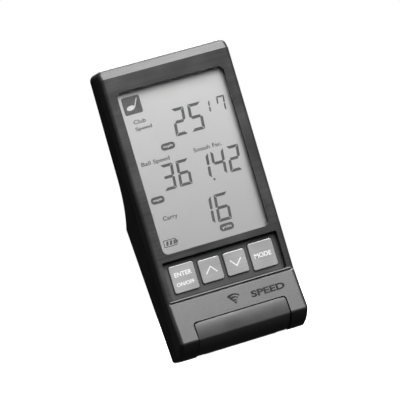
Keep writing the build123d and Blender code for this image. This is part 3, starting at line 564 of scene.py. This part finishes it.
def digit(sign, left, right, low, high, width):
    """The outlines of a seven-segment digit: mitred bars round two squares, then leaned to the right.

    Left is at the foot and right at the head, so that the lean, x + SLANT times the height, ends there.
    """
    x0, x1 = left, right - SLANT * (high - low)
    if sign == "1":
        x0 = x1 - width
    inner0, inner1 = x0 + width, x1 - width
    middle, half, gap = (low + high) / 2, width / 2, BAR_GAP * width
    bars = {
        "a": ((x0 + gap, high), (x1 - gap, high), (inner1 - gap, high - width), (inner0 + gap, high - width)),
        "d": ((x0 + gap, low), (x1 - gap, low), (inner1 - gap, low + width), (inner0 + gap, low + width)),
        "b": ((x1, high - gap), (x1, middle + half), (x1 - half, middle + gap), (inner1, middle + half),
              (inner1, high - width - gap)),
        "f": ((x0, high - gap), (x0, middle + half), (x0 + half, middle + gap), (inner0, middle + half),
              (inner0, high - width - gap)),
        "c": ((x1, low + gap), (x1, middle - half), (x1 - half, middle - gap), (inner1, middle - half),
              (inner1, low + width + gap)),
        "e": ((x0, low + gap), (x0, middle - half), (x0 + half, middle - gap), (inner0, middle - half),
              (inner0, low + width + gap)),
        "g": ((x0 + half + gap, middle), (inner0, middle + half), (inner1, middle + half),
              (x1 - half - gap, middle), (inner1, middle - half), (inner0, middle - half)),
    }
    outlines = []
    for name in SEGMENTS[sign]:
        ring = np.array(bars[name])
        ring[:, 0] += SLANT * (ring[:, 1] - low)
        outlines.append(ring)
    return outlines


INK = 0.04 * MM
ink_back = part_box("display_front_film")[0].y
ink_front = ink_back - INK
ink_middle = (ink_front + ink_back) / 2

# On the display, x and z are in millimetres: from the middle of the case, and above its base
BAR, SMALL_BAR, TALL_BAR = 1.5, 0.85, 1.55
DECIMAL_POINT = (8.36, 9.51, 84.93, 86.23, 0.55)
# sign, left, right, low, high, width of its bars
DIGITS = (
    ("2", -4.43, 3.84, 112.04, 126.43, TALL_BAR), ("5", 4.58, 13.43, 112.10, 126.50, TALL_BAR),
    ("1", 16.91, 18.34, 119.40, 125.90, SMALL_BAR), ("7", 21.55, 26.84, 118.50, 126.60, SMALL_BAR),
    ("3", -18.70, -10.49, 86.46, 99.98, BAR), ("6", -10.07, -1.67, 86.47, 100.0, BAR),
    ("1", 6.79, 9.36, 86.48, 99.70, BAR), ("4", 9.51, 18.04, 86.49, 100.1, BAR),
    ("2", 18.46, 26.59, 86.50, 100.1, BAR),
    ("1", 1.15, 4.21, 63.44, 77.90, BAR), ("6", 4.35, 13.52, 63.42, 77.89, BAR),
)
segments = [
    prism(outline * MM, ink_front, ink_back)
    for sign, *place in DIGITS
    for outline in digit(sign, *place)
]
segments.append(prism(rounded(*DECIMAL_POINT) * MM, ink_front, ink_back))
piece("display_digits", segments, "case", "display_ink")

WORD_WEIGHT = 0.018
# text, x and z of its middle, width, height
WORDS = (
    ("Club", -21.03, 124.86, 6.75, 2.22), ("Speed", -19.85, 120.88, 9.17, 2.50),
    ("Ball Speed", -18.98, 102.44, 15.75, 2.8), ("Smash Fac.", 10.38, 102.70, 15.93, 2.25),
    ("Carry", -19.89, 72.75, 8.1, 2.92),
)
words = [
    moved(lettering(text, width * MM, height * MM, INK, WORD_WEIGHT), (x * MM, ink_middle, z * MM))
    for text, x, z, width, height in WORDS
]
piece("display_words", words, "case", "display_ink")

# left, right, low, high, unit
PILLS = (
    (-14.05, -6.29, 106.66, 110.32, "mph"), (-27.45, -20.0, 81.31, 85.01, "mph"),
    (4.09, 12.01, 58.31, 62.10, "yds"),
)
PILL_CORNER = 1.75
SIGN_SQUARE = (-27.47, -17.55, 129.07, 138.45, 1.0)
pills = [prism(rounded(*sides, PILL_CORNER) * MM, ink_front, ink_back) for *sides, unit in PILLS]
pills.append(prism(rounded(*SIGN_SQUARE) * MM, ink_front, ink_back))


def battery_sign(left, right, low, high):
    """The parts of the battery sign: a frame of four strips, a knob at its right, and three slanted bars."""
    strip, corner = 0.4, 0.12
    knob, knob_inset = 0.7, 1.1
    bar_start, bar_pitch, bar_width, bar_lean, bar_inset = 1.2, 2.0, 1.2, 0.5, 0.8
    strips = ((left, right, high - strip, high), (left, right, low, low + strip),
              (left, left + strip, low, high), (right - strip, right, low, high),
              (right, right + knob, low + knob_inset, high - knob_inset))
    outlines = [rounded(*sides, corner) for sides in strips]
    for bar in range(3):
        foot = left + bar_start + bar_pitch * bar
        head = foot + bar_lean
        outlines.append(np.array(((head, high - bar_inset), (head + bar_width, high - bar_inset),
                                  (foot + bar_width, low + bar_inset), (foot, low + bar_inset))))
    return [prism(outline * MM, ink_front, ink_back) for outline in outlines]


pills += battery_sign(-27.38, -20.26, 58.46, 62.23)
piece("display_signs", pills, "case", "display_ink")

UNIT_MARGIN, UNIT_HEIGHT, UNIT_WEIGHT = 2.6, 1.6, 0.01
light_front, light_back = ink_front - INK / 2, ink_front
light_middle = (light_front + light_back) / 2
lights = [
    moved(lettering(unit, (x1 - x0 - UNIT_MARGIN) * MM, UNIT_HEIGHT * MM, INK / 2, UNIT_WEIGHT),
          ((x0 + x1) / 2 * MM, light_middle, (z0 + z1) / 2 * MM))
    for x0, x1, z0, z1, unit in PILLS
]
HEAD_X, HEAD_Z, HEAD_LENGTH, HEAD_RISE, HEAD_TILT = -23.6, 132.5, 2.3, 1.25, 0.25
head_height = HEAD_RISE * np.sin(full_turn) + HEAD_TILT * np.cos(full_turn)
club_head = np.stack((HEAD_X + HEAD_LENGTH * np.cos(full_turn), HEAD_Z + head_height), 1)
club_shaft = np.array(((-21.9, 132.2), (-21.2, 132.4), (-19.0, 136.9), (-19.4, 137.1)))
lights.append(prism(club_head * MM, light_front, light_back))
lights.append(prism(club_shaft * MM, light_front, light_back))
piece("display_light_signs", lights, "case", "display_light")

# ---------------------------------------------------------------- key legends

PRINT = 0.05 * MM
LEGEND_WEIGHT = 0.025
ARROW_REACH, ARROW_RISE, ARROW_WIDTH = 3.1, 1.75, 0.55


def key_face(node):
    """The middle of a key's front face."""
    low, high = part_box(node)
    return Vector(((low.x + high.x) / 2, low.y, (low.z + high.z) / 2))


def printed(text, node, rise, width, height):
    """Raised print of a word on a key, this far above the key's middle."""
    face = key_face(node)
    letters = lettering(text, width * MM, height * MM, 2 * PRINT, LEGEND_WEIGHT)
    return moved(letters, (face.x, face.y, face.z + rise * MM))


def chevron(node, direction):
    """Raised print of an open arrow on a key."""
    face = key_face(node)
    tip = ARROW_RISE * direction
    line = np.array(((-ARROW_REACH, -tip), (0.0, tip), (ARROW_REACH, -tip)))
    outline = stroke(line, ARROW_WIDTH) * MM + np.array((face.x, face.z))
    return prism(outline, face.y - PRINT, face.y + PRINT)


enter_word = printed("ENTER", "key_enter", rise=2.3, width=9.6, height=2.4)
power_word = printed("ON/OFF", "key_enter", rise=-2.9, width=9.8, height=2.1)
mode_word = printed("MODE", "key_mode", rise=0.0, width=9.4, height=2.5)
piece("legend_enter", [enter_word, power_word], "enter_key", "white_print")
piece("legend_up", [chevron("key_up", 1)], "up_key", "white_print")
piece("legend_down", [chevron("key_down", -1)], "down_key", "white_print")
piece("legend_mode", [mode_word], "mode_key", "white_print")

# ---------------------------------------------------------------- sign and word on the radar panel


IN_FRONT = -1.0
PROBE_X, PROBE_LOW, PROBE_HIGH = 8 * MM, 20.5 * MM, 27.5 * MM


def surface_under(node, x, z):
    """Where a ray going back from in front of a node meets it."""
    mesh = nodes[node].data
    points = np.empty(3 * len(mesh.vertices))
    mesh.vertices.foreach_get("co", points)
    tree = BVHTree.FromPolygons(points.reshape(-1, 3).tolist(), [list(p.vertices) for p in mesh.polygons])
    return tree.ray_cast(Vector((x, IN_FRONT, z)), Vector((0, 1, 0)))[0]


panel_low = surface_under("radar_cover", PROBE_X, PROBE_LOW)
panel_high = surface_under("radar_cover", PROBE_X, PROBE_HIGH)
lean = (panel_high.y - panel_low.y) / (panel_high.z - panel_low.z)


def on_panel(solid):
    """A solid made flat on y = 0, laid on the leaning panel: y grows by the lean times the height."""
    points, faces = solid
    leaned = points.copy()
    leaned[:, 1] += panel_low.y + lean * (points[:, 2] - panel_low.z)
    return leaned, faces


RAISED = 0.12 * MM
SIGN_X, SIGN_Z = -0.6, 21.3
WAVE_WIDTH, WAVE_STEPS = 0.55, 14
DOT_RADIUS, DOT_RISE = 0.6, 0.2
WORD_X, WORD_Z, WORD_WIDTH, WORD_HEIGHT = 18.2, 23.1, 18.8, 3.4
PANEL_WORD_WEIGHT = 0.03
signs = []
WAVE_START, WAVE_END = radians(46), radians(134)
WAVE_RADII = (1.6, 3.1, 4.6)
sweep = np.linspace(WAVE_START, WAVE_END, WAVE_STEPS)
for radius in WAVE_RADII:
    arc = np.stack((SIGN_X + radius * np.cos(sweep), SIGN_Z + radius * np.sin(sweep)), 1)
    signs.append(on_panel(prism(stroke(arc, WAVE_WIDTH) * MM, -RAISED, RAISED)))
dot_height = DOT_RISE + DOT_RADIUS * np.sin(full_turn)
dot = np.stack((SIGN_X + DOT_RADIUS * np.cos(full_turn), SIGN_Z + dot_height), 1)
signs.append(on_panel(prism(dot * MM, -RAISED, RAISED)))
speed_letters = lettering("SPEED", WORD_WIDTH * MM, WORD_HEIGHT * MM, 2 * RAISED, PANEL_WORD_WEIGHT)
signs.append(on_panel(moved(speed_letters, (WORD_X * MM, 0, WORD_Z * MM))))
piece("panel_signs", signs, "case", "dark_print")

# ---------------------------------------------------------------- floor, light and camera

STUDIO_WHITE = 1.0
FLOOR_GLOW = 0.7
GLOW_NEAR, GLOW_FAR = 0.2, 1.5
FLOOR_REACH = 12.0
TARGET = Vector((0, 0, 0.08))


def stage_floor():
    """A wide pale floor that the camera sees, and that throws no light back on the object."""
    material, tree, shader = start_material("floor_paper", Roughness=0.9)
    place = put(tree, "ShaderNodeTexCoord").outputs["Object"]
    fibre = put(tree, "ShaderNodeTexNoise", {"Vector": place, "Scale": 240.0, "Detail": 4.0}).outputs[0]
    paper_dark, paper_light, black, white = grey(0.86), grey(0.9), grey(0.0), grey(1.0)
    feed(tree, shader.inputs["Base Color"], blend_colours(tree, fibre, paper_dark, paper_light))
    distance = put(tree, "ShaderNodeVectorMath", {0: place}, operation="LENGTH").outputs["Value"]
    glow = remap(tree, distance, GLOW_NEAR, GLOW_FAR, FLOOR_GLOW, STUDIO_WHITE)
    feed(tree, shader.inputs["Emission Color"], blend_colours(tree, glow, black, white))
    shader.inputs["Emission Strength"].default_value = STUDIO_WHITE
    mesh = bpy.data.meshes.new("floor")
    corners = [(FLOOR_REACH * x, FLOOR_REACH * y, 0) for x, y in ((-1, -1), (1, -1), (1, 1), (-1, 1))]
    mesh.from_pydata(corners, [], [(0, 1, 2, 3)])
    mesh.materials.append(material)
    floor = bpy.data.objects.new("floor", mesh)
    bpy.context.scene.collection.objects.link(floor)
    floor.visible_diffuse = False
    floor.visible_glossy = False


def softbox(name, azimuth, elevation, distance, size, power):
    """An oblong area light that looks at the middle of the object, from this many degrees round and up."""
    lamp = bpy.data.lights.new(name, "AREA")
    lamp.shape = "RECTANGLE"
    lamp.size, lamp.size_y = size
    lamp.energy = power
    az, el = radians(azimuth), radians(elevation)
    away = Vector((sin(az) * cos(el), -cos(az) * cos(el), sin(el)))
    holder = bpy.data.objects.new(name, lamp)
    holder.location = TARGET + distance * away
    holder.rotation_euler = (-away).to_track_quat("-Z", "Y").to_euler()
    bpy.context.scene.collection.objects.link(holder)


stage_floor()
softbox("key_light", azimuth=16, elevation=57, distance=1.3, size=(1.1, 0.6), power=15.5)
softbox("front_light", azimuth=27, elevation=38, distance=1.6, size=(0.9, 0.6), power=22)
softbox("panel_light", azimuth=12, elevation=25, distance=1.7, size=(0.9, 0.25), power=6)
softbox("rear_light", azimuth=150, elevation=48, distance=1.8, size=(1.2, 0.9), power=46)

world = bpy.data.worlds.new("studio")
world.use_nodes = True
bpy.context.scene.world = world
sky = world.node_tree
seen = put(sky, "ShaderNodeLightPath").outputs["Is Camera Ray"]
AMBIENT = 0.03
strength = maths(sky, "MULTIPLY_ADD", seen, STUDIO_WHITE - AMBIENT, AMBIENT)
feed(sky, sky.nodes["Background"].inputs["Color"], (1, 1, 1, 1))
feed(sky, sky.nodes["Background"].inputs["Strength"], strength)
bpy.context.scene.view_settings.view_transform = "Standard"

SENSOR, FOCAL_LENGTH = 36.0, 259.5
camera_turn, camera_rise, camera_roll = radians(17.78), radians(1.37), radians(-16.49)
camera_distance = 1.5
aim = Vector((0.00185, 0, 0.07756))
level = cos(camera_rise)
forward = Vector((sin(camera_turn) * level, cos(camera_turn) * level, sin(camera_rise)))
right = Vector((cos(camera_turn), -sin(camera_turn), 0))
up = right.cross(forward)
across = cos(camera_roll) * right + sin(camera_roll) * up
upward = cos(camera_roll) * up - sin(camera_roll) * right
lens = bpy.data.cameras.new("camera")
lens.sensor_width = SENSOR
lens.lens = FOCAL_LENGTH
camera = bpy.data.objects.new("camera", lens)
facing = Matrix((across, upward, -forward)).transposed().to_4x4()
camera.matrix_world = Matrix.Translation(aim - camera_distance * forward) @ facing
bpy.context.scene.collection.objects.link(camera)
bpy.context.scene.camera = camera
